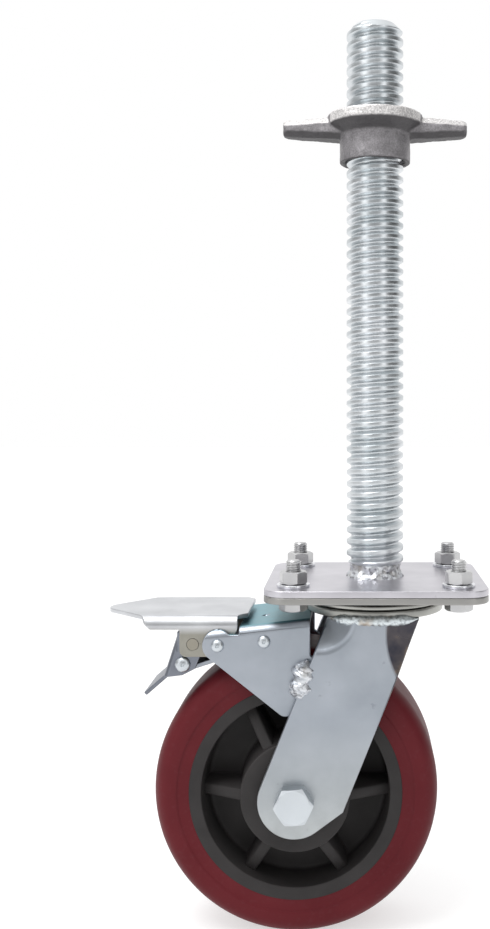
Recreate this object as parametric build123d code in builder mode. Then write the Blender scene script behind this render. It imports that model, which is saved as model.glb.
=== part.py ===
"""Swivel scaffold castor with a screw jack stem, a wing nut and a foot brake.

Millimetres. The origin is on the stem's axis, at the top face of the stem plate. +Z is up,
+X points away from the brake pedal, and the two sides of the fork lie at -Y and +Y.
"""

import os
from math import acos, asin, atan2, cos, degrees, hypot, radians, sin, sqrt, tan

from build123d import *

# Overall sizes
mounting_height = 185.0  # floor to the top of the stem plate
wheel_diameter = 150.0
tread_width = 50.0
trail = 42.0  # how far the axle lies behind the stem's axis

# Fits
running_fit = 0.08  # a turning shaft in its hole, on the radius
bolt_clearance = 0.5  # a bolt in its hole, on the radius
part_gap = 0.3  # between pieces that pass each other

# Jack stem, with a coarse rolled thread
stem_length = 300.0
crest_diameter = 31.0
root_diameter = 26.0
pitch = 6.25
crest_width = 1.4
root_width = 2.2
stem_bevel = 2.2
stem_foot_diameter = 22.0  # the foot is turned down below the thread
stem_foot_turns = 1  # height of the foot, in turns of the thread
stem_weld_leg = 1.2  # along the plate, from the thread's root
stem_weld_height = 8.2
stem_weld_middle = (1.3, 4.4)  # a point of the bead's round face, out from the thread's root and up

# Plates and the bolts that join them
plate_length = 115.0
plate_width = 100.0
plate_corner = 12.0
stem_plate_thickness = 3.5
top_plate_thickness = 3.5
bolt_spacing_x = 85.0
bolt_spacing_y = 70.0
plate_bolt_diameter = 8.0
plate_bolt_across = 13.0
plate_bolt_head = 5.3
plate_nut_height = 6.5
plate_bolt_end = 5.5  # thread showing above the nut
plate_bolt_bevel = 1.0
washer_diameter = 17.0
washer_thickness = 1.6

# Wing nut
nut_flange_top = 251.0  # height of the flange above the stem plate, as set on the thread
nut_flange_diameter = 52.0
nut_flange_thickness = 6.0
nut_cone_height = 5.0
nut_collar_diameter = 38.5
nut_height = 26.5
nut_bore_clearance = 0.3
nut_mouth_bevel = 1.5
nut_edge_bevel = 1.2
wing_span = 100.0
wing_drop = 1.5  # the wing's top lies this far below the flange's top at the collar
wing_root_height = 12.5
wing_tip_height = 9.0
wing_root_width = 17.0
wing_tip_width = 13.0
wing_bevel = 2.5
wing_tip_radius = 2.4

# Swivel head
crown_diameter = 73.4
crown_thickness = 4.2
crown_edge_radius = 1.0
race_thickness = 2.0
race_dish = 3.2  # how far the race's outer lip hangs below its flat
race_flat_diameter = 59.0
race_lip_diameter = 67.0
swivel_ball = 5.0
upper_ball_circle = 48.0
lower_ball_circle = 36.0
upper_ball_count = 12
lower_ball_count = 10
ball_seat = 0.6  # how deep a ball sits in each groove
ball_play = 0.05
lower_race_diameter = 48.0
lower_race_thickness = 3.0
king_pin_diameter = 16.0
king_head_diameter = 22.0
king_nut_across = 24.0
king_nut_height = 8.0
king_pin_end = 1.5
king_pin_bevel = 1.0

# Fork legs
leg_inner = 33.0  # from the middle plane to a leg's inner face
leg_thickness = 5.5
leg_lean = 22.0  # degrees from upright
leg_boss_radius = 19.0
leg_front_offset = 25.2  # from the axle to the leg's front edge
leg_corner_rise = 4.6  # the lower front corner, above the axle along the leg
leg_front_bend = ((52.0, -24.0), 47.0, 25.0)  # the upper corners are pressed in, inside a circle:
leg_back_bend = ((-29.0, -15.0), 18.0, 40.0)  # its centre in (x, z), its radius and the angle in degrees
leg_bend_radius = 6.0
crown_weld_radius = 2.6

# Axle and the hub's roller bearing
axle_diameter = 12.0
axle_across = 18.0
axle_head = 7.5
axle_head_bevel = 0.8
axle_turn = 4.0  # degrees that the bolt's head stands turned
axle_nut_height = 10.0
axle_bolt_end = 3.0
sleeve_wall = 3.4
roller_diameter = 4.6
roller_length = 44.0
roller_count = 10
cage_rim = 2.2
cage_wall = 1.8
race_wall = 2.2
axle_washer_diameter = 34.0
axle_washer_thickness = 1.8
hub_end_play = 0.2
seal_thickness = 1.5

# Wheel core and tyre
core_diameter = 112.0
core_rim_width = 49.0
core_rim_wall = 6.6
core_web_thickness = 8.0
hub_diameter = 57.0
core_draft = 1.2
core_edge = 1.0
rib_count = 6
rib_thickness = 6.5
rib_rim_setback = 8.0  # how far below the rim's face a rib meets it
rib_hub_setback = 3.0
tyre_shoulder = 8.0  # height of the rounded shoulder, below the tread
tyre_step_height = 6.0  # from the core to the step in the tyre's face
tyre_step = 0.7
tyre_crown_width = 28.0

# Brake bracket
bracket_thickness = 3.0
bracket_web_back = -70.9
bracket_web_front = -34.0
bracket_web_back_top = -21.5
bracket_web_front_top = -17.4
bracket_bend = 4.5
bracket_ear_radius = 8.0
bracket_step_top = -25.4
bracket_lap = 2.0
bracket_lap_top = -38.0
bracket_slope = (-80.3, -42.4)  # a point of the lower edge, which slopes down from the ear to the leg
bracket_corner_radius = 5.0
bracket_weld_radius = 5.2
bracket_weld_top = -38.5
bracket_weld_bottom = -61.0
pedal_pivot = (-81.8, -31.0)
shoe_pivot = (-57.8, -28.9)
bracket_dimple = (-59.0, -6.6)  # a centre mark in the web, in (x, y)
bracket_dimple_radius = 2.0
bracket_dimple_depth = 1.2
rivet_diameter = 5.0
rivet_head_diameter = 6.8
rivet_head_height = 2.2

# Pedal
pedal_thickness = 2.5
pedal_top = -16.2
pedal_front = -67.0
pedal_flange_front = -71.8
pedal_flat_back = -116.0
pedal_tip = -148.0
pedal_tip_drop = 0.6
pedal_shoulder = -122.5
pedal_shoulder_width = 52.0
pedal_tip_radius = 9.0
pedal_bend = 5.5
pedal_flange_bottom = -23.5
pedal_flange_back = -117.5
pedal_ear_back = -102.0
pedal_ear_bottom = -37.6
pedal_ear_radius = 6.6
lever_pivot = (-95.1, -31.0)
lever_pin_diameter = 6.0

# Release lever
lever_thickness = 2.0
lever_top = (-103.7, -26.3)
lever_heel = (-111.0, -49.0)
lever_toe = (-94.1, -44.3)
lever_front = (-91.9, -38.5)
lever_eye_radius = 6.0
lever_sole = (-101.0, -47.8)
tail_end = (-122.8, -59.2)
tail_width = 36.0
tail_corner = 1.0
lever_bend = 3.0
cross_pin = (-100.6, -42.0)
cross_pin_diameter = 5.0
cross_head_diameter = 8.3
cross_head_height = 2.6

# Brake shoe
shoe_gap = 4.5  # clear of the tread with the brake off
shoe_thickness = 2.5
shoe_width = 42.0
shoe_knuckle_radius = 4.8
shoe_start = 99.0  # degrees round the axle, from the front
shoe_end = 121.0
shoe_tip_reach = 2.0  # past the middle of the cross pin

# Derived levels and places
axle_z = -(mounting_height - wheel_diameter / 2)
axle = (-trail, axle_z)
top_plate_top = -stem_plate_thickness
top_plate_bottom = top_plate_top - top_plate_thickness
race_bottom = top_plate_bottom - race_thickness
ball_gap = swivel_ball - 2 * ball_seat  # between the two faces that the balls run in
crown_top = race_bottom - ball_gap
crown_bottom = crown_top - crown_thickness
lower_race_top = crown_bottom - ball_gap
lower_race_bottom = lower_race_top - lower_race_thickness
king_nut_bottom = lower_race_bottom - king_nut_height
crown_radius = crown_diameter / 2
leg_outer = leg_inner + leg_thickness
bracket_outer = leg_inner
bracket_inner = bracket_outer - bracket_thickness
pedal_outer = bracket_inner - part_gap
pedal_inner = pedal_outer - pedal_thickness
lever_outer = pedal_inner - part_gap
lever_inner = lever_outer - lever_thickness
wheel_radius = wheel_diameter / 2
sides = (-1, 1)
beyond = mounting_height  # further than any piece reaches across, for cuts right through
margin = 1.0  # how far a cutting profile stands past what it cuts
near = 0.01  # two places closer than this are one
side_plane = Plane.XZ  # sketches here are in (x, z), and its normal is -Y


def export_piece(part, name):
    """Write one finished piece under its name."""
    part.label = name
    export_step(part, f"parts/{name}.step")


def touch_point(centre, radius, outside, turn):
    """Where a line from an outside point touches a circle, on its left (1) or right (-1) side."""
    dx, dz = outside[0] - centre[0], outside[1] - centre[1]
    angle = atan2(dz, dx) + turn * acos(radius / hypot(dx, dz))
    return (centre[0] + radius * cos(angle), centre[1] + radius * sin(angle))


def on_circle(centre, radius, angle):
    """A point on a circle, the angle in degrees from +X."""
    return (centre[0] + radius * cos(radians(angle)), centre[1] + radius * sin(radians(angle)))


def along_leg(up, across):
    """A point in (x, z), measured from the axle along and across the leaning leg."""
    lean = radians(leg_lean)
    return (axle[0] + up * sin(lean) + across * cos(lean), axle[1] + up * cos(lean) - across * sin(lean))


def leg_edge_at(across, z):
    """The point of a leg's edge line at a height."""
    lean = radians(leg_lean)
    return along_leg((z - axle[1] + across * sin(lean)) / cos(lean), across)


def corner_at(corners, place):
    """The corners of a sketch that stand at one place."""
    return [v for v in corners if hypot(v.X - place[0], v.Y - place[1]) < near]


def cross_rivet(centre, radius, head_radius, head_height, reach):
    """A rivet across the object, domed at both ends, with its heads seated at plus and minus reach."""
    sphere = (head_radius**2 + head_height**2) / (2 * head_height)
    with BuildPart(mode=Mode.PRIVATE) as rivet:
        with BuildSketch(Plane.XY):
            with BuildLine():
                tip = reach + head_height
                Line((0, -tip), (0, tip))
                RadiusArc((0, tip), (head_radius, reach), sphere)
                Polyline((head_radius, reach), (radius, reach), (radius, -reach), (head_radius, -reach))
                RadiusArc((head_radius, -reach), (0, -tip), sphere)
            make_face()
        revolve(axis=Axis.Y)
    return rivet.part.moved(Location((centre[0], 0, centre[1])))


os.makedirs("parts", exist_ok=True)

# Jack stem: the thread's ridges are one profile turned about the axis
crest = crest_diameter / 2
root = root_diameter / 2
flank = (pitch - crest_width - root_width) / 2
foot_radius = stem_foot_diameter / 2
thread_profile = [(0, 0), (foot_radius, 0), (foot_radius, stem_foot_turns * pitch)]
for turn in range(stem_foot_turns, int(stem_length / pitch + 1e-6)):
    foot = turn * pitch
    thread_profile += [
        (root, foot),
        (root, foot + root_width),
        (crest, foot + root_width + flank),
        (crest, foot + root_width + flank + crest_width),
    ]
thread_profile += [(root, min(foot + pitch, stem_length)), (root, stem_length), (0, stem_length)]
thread_profile = [p for i, p in enumerate(thread_profile) if i == 0 or p != thread_profile[i - 1]]
with BuildPart() as jack_stem:
    with BuildSketch(Plane.XZ):
        with BuildLine():
            Polyline(*thread_profile, close=True)
        make_face()
        with BuildLine():
            Polyline(
                (crest + margin, stem_length + margin),
                (root - stem_bevel + margin, stem_length + margin),
                (root - stem_bevel + margin, stem_length),
                (crest + margin, stem_length - (crest - root) - stem_bevel),
                close=True,
            )
        make_face(mode=Mode.SUBTRACT)
    revolve(axis=Axis.Z)
export_piece(jack_stem.part, "jack_stem")

# The bead that welds the stem to its plate
with BuildPart() as stem_weld:
    with BuildSketch(Plane.XZ):
        with BuildLine():
            weld_foot = (root + stem_weld_leg, 0)
            Polyline((root, stem_weld_height), (foot_radius, stem_weld_height), (foot_radius, 0), weld_foot)
            weld_middle = (root + stem_weld_middle[0], stem_weld_middle[1])
            ThreePointArc(weld_foot, weld_middle, (root, stem_weld_height))
        make_face()
    revolve(axis=Axis.Z)
    add(jack_stem.part, mode=Mode.SUBTRACT)
export_piece(stem_weld.part, "stem_weld")


def plate_outline():
    RectangleRounded(plate_length, plate_width, plate_corner)


# Stem plate
with BuildPart() as stem_plate:
    with BuildSketch(Plane.XY):
        plate_outline()
        with GridLocations(bolt_spacing_x, bolt_spacing_y, 2, 2):
            Circle(plate_bolt_diameter / 2 + bolt_clearance, mode=Mode.SUBTRACT)
    extrude(amount=-stem_plate_thickness)
export_piece(stem_plate.part, "stem_plate")

# Castor top plate, countersunk for the head of the king pin
with BuildPart() as top_plate:
    with BuildSketch(Plane.XY.offset(top_plate_top)):
        plate_outline()
        with GridLocations(bolt_spacing_x, bolt_spacing_y, 2, 2):
            Circle(plate_bolt_diameter / 2 + bolt_clearance, mode=Mode.SUBTRACT)
    extrude(amount=-top_plate_thickness)
    with Locations((0, 0, top_plate_top)):
        CounterSinkHole(king_pin_diameter / 2, king_head_diameter / 2, counter_sink_angle=90)
export_piece(top_plate.part, "castor_top_plate")

# The four bolts that clamp the two plates, heads below and nuts on washers above
with BuildPart() as plate_bolts:
    with BuildSketch(Plane.XY.offset(top_plate_bottom)):
        with GridLocations(bolt_spacing_x, bolt_spacing_y, 2, 2):
            RegularPolygon(plate_bolt_across / 2, 6, major_radius=False, rotation=30)
    extrude(amount=-plate_bolt_head)
    with BuildSketch(Plane.XY.offset(top_plate_bottom)):
        with GridLocations(bolt_spacing_x, bolt_spacing_y, 2, 2):
            Circle(plate_bolt_diameter / 2)
    extrude(amount=-top_plate_bottom + washer_thickness + plate_nut_height + plate_bolt_end)
    chamfer(plate_bolts.edges().filter_by(GeomType.CIRCLE).group_by(Axis.Z)[-1], plate_bolt_bevel)
export_piece(plate_bolts.part, "plate_bolts")

with BuildPart() as plate_washers:
    with BuildSketch(Plane.XY):
        with GridLocations(bolt_spacing_x, bolt_spacing_y, 2, 2):
            Circle(washer_diameter / 2)
            Circle(plate_bolt_diameter / 2 + running_fit, mode=Mode.SUBTRACT)
    extrude(amount=washer_thickness)
export_piece(plate_washers.part, "plate_washers")

with BuildPart() as plate_nuts:
    with BuildSketch(Plane.XY.offset(washer_thickness)):
        with GridLocations(bolt_spacing_x, bolt_spacing_y, 2, 2):
            RegularPolygon(plate_bolt_across / 2, 6, major_radius=False, rotation=30)
            Circle(plate_bolt_diameter / 2, mode=Mode.SUBTRACT)
    extrude(amount=plate_nut_height)
export_piece(plate_nuts.part, "plate_nuts")

# Wing nut: a bored collar with a coned flange, and two tapering wings
flange_radius = nut_flange_diameter / 2
collar_radius = nut_collar_diameter / 2
nut_bore = crest + nut_bore_clearance
nut_bottom = nut_flange_top - nut_height


def wing_section(width, height):
    """The corners of a wing's section, hanging from its top line and bevelled along its upper edges."""
    half = width / 2
    return [
        (-half, -height),
        (half, -height),
        (half, -wing_bevel),
        (half - wing_bevel, 0),
        (wing_bevel - half, 0),
        (-half, -wing_bevel),
    ]


with BuildPart() as wing_nut:
    wing_top = nut_flange_top - wing_drop
    tip_top = wing_top - (wing_root_height - wing_tip_height) / 2
    for side in sides:
        for reach, top, width, height in (
            (root, wing_top, wing_root_width, wing_root_height),
            (wing_span / 2, tip_top, wing_tip_width, wing_tip_height),
        ):
            with BuildSketch(Plane(origin=(side * reach, 0, top), x_dir=(0, side, 0), z_dir=(side, 0, 0))):
                with BuildLine():
                    Polyline(*wing_section(width, height), close=True)
                make_face()
        loft()
        tip_face = wing_nut.faces().sort_by(Axis.X)[-1 if side > 0 else 0]
        fillet(tip_face.edges().filter_by(Axis.Z), wing_tip_radius)
    with BuildSketch(Plane.XZ):
        with BuildLine():
            Polyline(
                (0, nut_bottom),
                (collar_radius - nut_edge_bevel, nut_bottom),
                (collar_radius, nut_bottom + nut_edge_bevel),
                (collar_radius, nut_flange_top - nut_flange_thickness - nut_cone_height),
                (flange_radius, nut_flange_top - nut_flange_thickness),
                (flange_radius, nut_flange_top - nut_edge_bevel),
                (flange_radius - nut_edge_bevel, nut_flange_top),
                (0, nut_flange_top),
                close=True,
            )
        make_face()
    revolve(axis=Axis.Z)
    with BuildSketch(Plane.XY.offset(nut_flange_top)):
        Circle(nut_bore)
    extrude(amount=-nut_height, mode=Mode.SUBTRACT)
    rims = wing_nut.edges().filter_by(GeomType.CIRCLE)
    chamfer(rims.filter_by(lambda e: abs(e.radius - nut_bore) < near), nut_mouth_bevel)
export_piece(wing_nut.part, "wing_nut")

# Swivel head: races, balls, crown and the king pin that holds them together
upper_ball_z = race_bottom - ball_gap / 2
lower_ball_z = crown_bottom - ball_gap / 2
ball_radius = swivel_ball / 2
pin_radius = king_pin_diameter / 2


def ball_groove(circle, z):
    """Cut a round groove for a circle of balls from the part being built."""
    with Locations((0, 0, z)):
        Torus(circle / 2, ball_radius, mode=Mode.SUBTRACT)


with BuildPart() as upper_race:
    with BuildSketch(Plane.XZ):
        with BuildLine():
            Polyline(
                (pin_radius, top_plate_bottom),
                (race_flat_diameter / 2, top_plate_bottom),
                (race_lip_diameter / 2, top_plate_bottom - race_dish),
                (crown_radius, top_plate_bottom - race_dish),
                (crown_radius, race_bottom - race_dish),
                (race_lip_diameter / 2 - race_thickness / 2, race_bottom - race_dish),
                (race_flat_diameter / 2 - race_thickness / 2, race_bottom),
                (pin_radius, race_bottom),
                close=True,
            )
        make_face()
    revolve(axis=Axis.Z)
    ball_groove(upper_ball_circle, upper_ball_z)
export_piece(upper_race.part, "upper_race")

with BuildPart() as fork_crown:
    with BuildSketch(Plane.XY.offset(crown_top)):
        Circle(crown_radius)
        Circle(pin_radius + running_fit, mode=Mode.SUBTRACT)
    extrude(amount=-crown_thickness)
    ball_groove(upper_ball_circle, upper_ball_z)
    ball_groove(lower_ball_circle, lower_ball_z)
    crown_rim = fork_crown.edges().filter_by(GeomType.CIRCLE).group_by(Axis.Z)[-1]
    fillet(crown_rim.sort_by(SortBy.RADIUS)[-1], crown_edge_radius)
export_piece(fork_crown.part, "fork_crown")

with BuildPart() as lower_race:
    with BuildSketch(Plane.XY.offset(lower_race_top)):
        Circle(lower_race_diameter / 2)
        Circle(pin_radius, mode=Mode.SUBTRACT)
    extrude(amount=-lower_race_thickness)
    ball_groove(lower_ball_circle, lower_ball_z)
export_piece(lower_race.part, "lower_race")

for name, circle, count, z in (
    ("upper_swivel_balls", upper_ball_circle, upper_ball_count, upper_ball_z),
    ("lower_swivel_balls", lower_ball_circle, lower_ball_count, lower_ball_z),
):
    with BuildPart() as balls:
        with Locations((0, 0, z)):
            with PolarLocations(circle / 2, count):
                Sphere(ball_radius - ball_play)
    export_piece(balls.part, name)

with BuildPart() as king_pin:
    with BuildSketch(Plane.XZ):
        with BuildLine():
            head_radius = king_head_diameter / 2
            Polyline(
                (0, top_plate_top),
                (head_radius, top_plate_top),
                (pin_radius, top_plate_top - (head_radius - pin_radius)),
                (pin_radius, king_nut_bottom - king_pin_end + king_pin_bevel),
                (pin_radius - king_pin_bevel, king_nut_bottom - king_pin_end),
                (0, king_nut_bottom - king_pin_end),
                close=True,
            )
        make_face()
    revolve(axis=Axis.Z)
export_piece(king_pin.part, "king_pin")

with BuildPart() as king_nut:
    with BuildSketch(Plane.XY.offset(lower_race_bottom)):
        RegularPolygon(king_nut_across / 2, 6, major_radius=False)
        Circle(pin_radius, mode=Mode.SUBTRACT)
    extrude(amount=-king_nut_height)
export_piece(king_nut.part, "king_nut")

# Fork legs: flat plates whose upper corners are pressed in, to meet the round crown
leg_top = crown_bottom
leg_back_top = leg_edge_at(-leg_boss_radius, leg_top)
leg_front_top = leg_edge_at(leg_front_offset, leg_top)
leg_corner = along_leg(leg_corner_rise, leg_front_offset)
boss_back = along_leg(0, -leg_boss_radius)
boss_front = touch_point(axle, leg_boss_radius, leg_corner, -1)
boss_low = on_circle(axle, leg_boss_radius, 180 + (90 - leg_lean))
leg_middle = (leg_inner + leg_outer) / 2


def pressed_cone(centre, radius, angle):
    """The cone, as thick as the leg, that its plate takes inside a bend's circle, rounded into the flat."""
    turn = radians(angle)
    apex = radius * tan(turn) - leg_outer
    with BuildPart(mode=Mode.PRIVATE) as cone:
        with BuildSketch(Plane.XY):
            with BuildLine():
                Polyline(
                    (radius + leg_bend_radius, -leg_outer),
                    (radius, -leg_outer),
                    (0, apex),
                    (0, apex + leg_thickness / cos(turn)),
                    (radius + leg_thickness * tan(turn / 2), -leg_inner),
                    (radius + leg_bend_radius, -leg_inner),
                    close=True,
                )
            make_face()
            fillet(corner_at(vertices(), (radius, -leg_outer)), leg_bend_radius)
        revolve(axis=Axis.Y)
    return cone.part.moved(Location((centre[0], 0, centre[1])))


with BuildSketch() as leg_side:
    with BuildLine():
        Polyline(boss_back, leg_back_top, leg_front_top, leg_corner, boss_front)
        ThreePointArc(boss_front, boss_low, boss_back)
    make_face()
with BuildPart() as near_leg:
    with BuildSketch(side_plane.offset(leg_outer)):
        add(leg_side.sketch)
        for centre, radius, angle in (leg_front_bend, leg_back_bend):
            with Locations(centre):
                Circle(radius + leg_bend_radius, mode=Mode.SUBTRACT)
    extrude(amount=-leg_thickness)
    for bend in (leg_front_bend, leg_back_bend):
        add(pressed_cone(*bend))
    with BuildSketch(side_plane):
        add(leg_side.sketch)
    extrude(amount=2 * leg_outer, mode=Mode.INTERSECT)
    with BuildSketch(side_plane):
        with Locations(axle):
            Circle(axle_diameter / 2 + bolt_clearance)
    extrude(amount=2 * leg_outer, mode=Mode.SUBTRACT)
export_piece(near_leg.part, "fork_leg_near")
far_leg = near_leg.part.mirror(Plane.XZ)
export_piece(far_leg, "fork_leg_far")

# The beads that weld the legs to the crown: a round bead along each leg's top edge
bead_circle = (crown_radius + leg_outer) / 2
bead_start = 270 - degrees(asin(-leg_back_top[0] / leg_outer))
bead_end = 270 + degrees(asin(leg_front_top[0] / leg_outer))
with BuildPart() as near_crown_weld:
    start_x, start_y = on_circle((0, 0), 1, bead_start)
    with BuildSketch(Plane(origin=(0, 0, 0), x_dir=(start_x, start_y, 0), z_dir=(start_y, -start_x, 0))):
        with Locations((bead_circle, leg_top)):
            Circle(crown_weld_radius)
    revolve(axis=Axis.Z, revolution_arc=bead_end - bead_start)
    add(near_leg.part, mode=Mode.SUBTRACT)
    add(fork_crown.part, mode=Mode.SUBTRACT)
with BuildPart() as crown_welds:
    add(near_crown_weld.part.solids().sort_by(SortBy.VOLUME)[-1])
    mirror(about=Plane.XZ)
export_piece(crown_welds.part, "crown_welds")

# Axle bolt and nut
with BuildPart() as axle_bolt:
    with BuildSketch(side_plane.offset(leg_outer)):
        with Locations(axle):
            RegularPolygon(axle_across / 2, 6, major_radius=False, rotation=axle_turn)
    extrude(amount=axle_head)
    chamfer(axle_bolt.faces().sort_by(Axis.Y)[0].edges(), axle_head_bevel)
    with BuildSketch(side_plane.offset(leg_outer)):
        with Locations(axle):
            Circle(axle_diameter / 2)
    extrude(amount=-(2 * leg_outer + axle_nut_height + axle_bolt_end))
    chamfer(axle_bolt.faces().sort_by(Axis.Y)[-1].edges(), axle_head_bevel)
export_piece(axle_bolt.part, "axle_bolt")

with BuildPart() as axle_nut:
    with BuildSketch(side_plane.offset(-leg_outer)):
        with Locations(axle):
            RegularPolygon(axle_across / 2, 6, major_radius=False)
            Circle(axle_diameter / 2, mode=Mode.SUBTRACT)
    extrude(amount=-axle_nut_height)
export_piece(axle_nut.part, "axle_nut")

# Hub bearing: a sleeve clamped between the legs, rollers in a cage, and a race pressed into the hub
sleeve_inner = axle_diameter / 2 + running_fit
sleeve_outer = sleeve_inner + sleeve_wall
roller_radius = roller_diameter / 2
roller_circle = sleeve_outer + running_fit + roller_radius
race_inner = roller_circle + roller_radius + running_fit
race_outer = race_inner + race_wall
hub_half = leg_inner - axle_washer_thickness - hub_end_play


def ring_across(inner, outer, reach_from, reach_to):
    """A ring about the axle between two distances along it."""
    with BuildPart(mode=Mode.PRIVATE) as ring:
        with BuildSketch(side_plane.offset(reach_from)):
            with Locations(axle):
                Circle(outer)
                Circle(inner, mode=Mode.SUBTRACT)
        extrude(amount=reach_to - reach_from)
    return ring.part


axle_sleeve = ring_across(sleeve_inner, sleeve_outer, -leg_inner, leg_inner)
export_piece(axle_sleeve, "axle_sleeve")

with BuildPart() as axle_washers:
    for side in sides:
        washer_inner_face = side * (leg_inner - axle_washer_thickness)
        add(ring_across(sleeve_outer, axle_washer_diameter / 2, washer_inner_face, side * leg_inner))
export_piece(axle_washers.part, "axle_washers")

race_half = hub_half - seal_thickness
hub_race = ring_across(race_inner, race_outer, -race_half, race_half)
export_piece(hub_race, "hub_race")

with BuildPart() as hub_seals:
    for side in sides:
        add(ring_across(sleeve_outer + part_gap, race_outer, side * race_half, side * hub_half))
export_piece(hub_seals.part, "hub_seals")

with BuildPart() as rollers:
    with BuildSketch(side_plane.offset(roller_length / 2)):
        with Locations(axle):
            with PolarLocations(roller_circle, roller_count):
                Circle(roller_radius)
    extrude(amount=-roller_length)
export_piece(rollers.part, "hub_rollers")

with BuildPart() as roller_cage:
    cage_half = roller_length / 2 + cage_rim
    add(ring_across(roller_circle - cage_wall / 2, roller_circle + cage_wall / 2, -cage_half, cage_half))
    with BuildSketch(side_plane.offset(roller_length / 2 + part_gap)):
        with Locations(axle):
            with PolarLocations(roller_circle, roller_count):
                Circle(roller_radius + running_fit)
    extrude(amount=-(roller_length + 2 * part_gap), mode=Mode.SUBTRACT)
export_piece(roller_cage.part, "roller_cage")

# Wheel core: rim, web and hub as one turned profile, with ribs on both faces
axle_plane = Plane(origin=(axle[0], 0, axle[1]), x_dir=(1, 0, 0), z_dir=(0, 0, 1))  # (radius, across)
axle_line = Axis((axle[0], 0, axle[1]), (0, 1, 0))
core_radius = core_diameter / 2
hub_radius = hub_diameter / 2
rim_inner = core_radius - core_rim_wall
rim_half = core_rim_width / 2
web_half = core_web_thickness / 2
with BuildPart() as wheel_core:
    with BuildSketch(axle_plane):
        with BuildLine():
            Polyline(
                (race_outer, 0),
                (race_outer, hub_half),
                (hub_radius - core_edge, hub_half),
                (hub_radius, hub_half - core_edge),
                (hub_radius + core_draft, web_half),
                (rim_inner - core_draft, web_half),
                (rim_inner, rim_half),
                (core_radius, rim_half),
                (core_radius, 0),
                close=True,
            )
        make_face()
        mirror(about=Plane.XZ)
    revolve(axis=axle_line)
    for rib in range(rib_count):
        angle = radians(rib * 360 / rib_count)
        rib_out = (cos(angle), 0, sin(angle))
        rib_plane = Plane(origin=(axle[0], 0, axle[1]), x_dir=rib_out, z_dir=(-rib_out[2], 0, rib_out[0]))
        with BuildSketch(rib_plane):
            with BuildLine():
                Polyline(
                    (hub_radius - core_edge, rib_hub_setback - hub_half),
                    (hub_radius - core_edge, hub_half - rib_hub_setback),
                    (rim_inner + core_edge, rim_half - rib_rim_setback),
                    (rim_inner + core_edge, rib_rim_setback - rim_half),
                    close=True,
                )
            make_face()
        extrude(amount=rib_thickness / 2, both=True)
export_piece(wheel_core.part, "wheel_core")

# Tyre, bonded to the core, with a small step on each face and rounded shoulders
tread_half = tread_width / 2
crown_half = tyre_crown_width / 2
tyre_step_radius = core_radius + tyre_step_height
tyre_side_radius = wheel_radius - tyre_shoulder
with BuildPart() as tyre:
    with BuildSketch(axle_plane):
        with BuildLine():
            Polyline(
                (wheel_radius, 0),
                (core_radius, 0),
                (core_radius, tread_half - tyre_step),
                (tyre_step_radius, tread_half - tyre_step),
                (tyre_step_radius + tyre_step, tread_half),
                (tyre_side_radius, tread_half),
            )
            EllipticalCenterArc(
                (tyre_side_radius, crown_half),
                wheel_radius - tyre_side_radius,
                tread_half - crown_half,
                arc_size=90,
            )
            Line((wheel_radius, crown_half), (wheel_radius, 0))
        make_face()
        mirror(about=Plane.XZ)
    revolve(axis=axle_line)
export_piece(tyre.part, "tyre")

# Brake bracket: a folded channel with the web on top, welded to the legs
bracket_heel = leg_edge_at(bracket_lap - leg_boss_radius, bracket_lap_top)
slope_touch = touch_point(pedal_pivot, bracket_ear_radius, bracket_slope, -1)
slope_run = (bracket_slope[0] - slope_touch[0], bracket_slope[1] - slope_touch[1])


def crossing(start, run, line_point, line_run):
    """Where two lines in (x, z) cross, each given by a point and a direction."""
    across = run[0] * line_run[1] - run[1] * line_run[0]
    step = ((line_point[0] - start[0]) * line_run[1] - (line_point[1] - start[1]) * line_run[0]) / across
    return (start[0] + step * run[0], start[1] + step * run[1])


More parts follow.
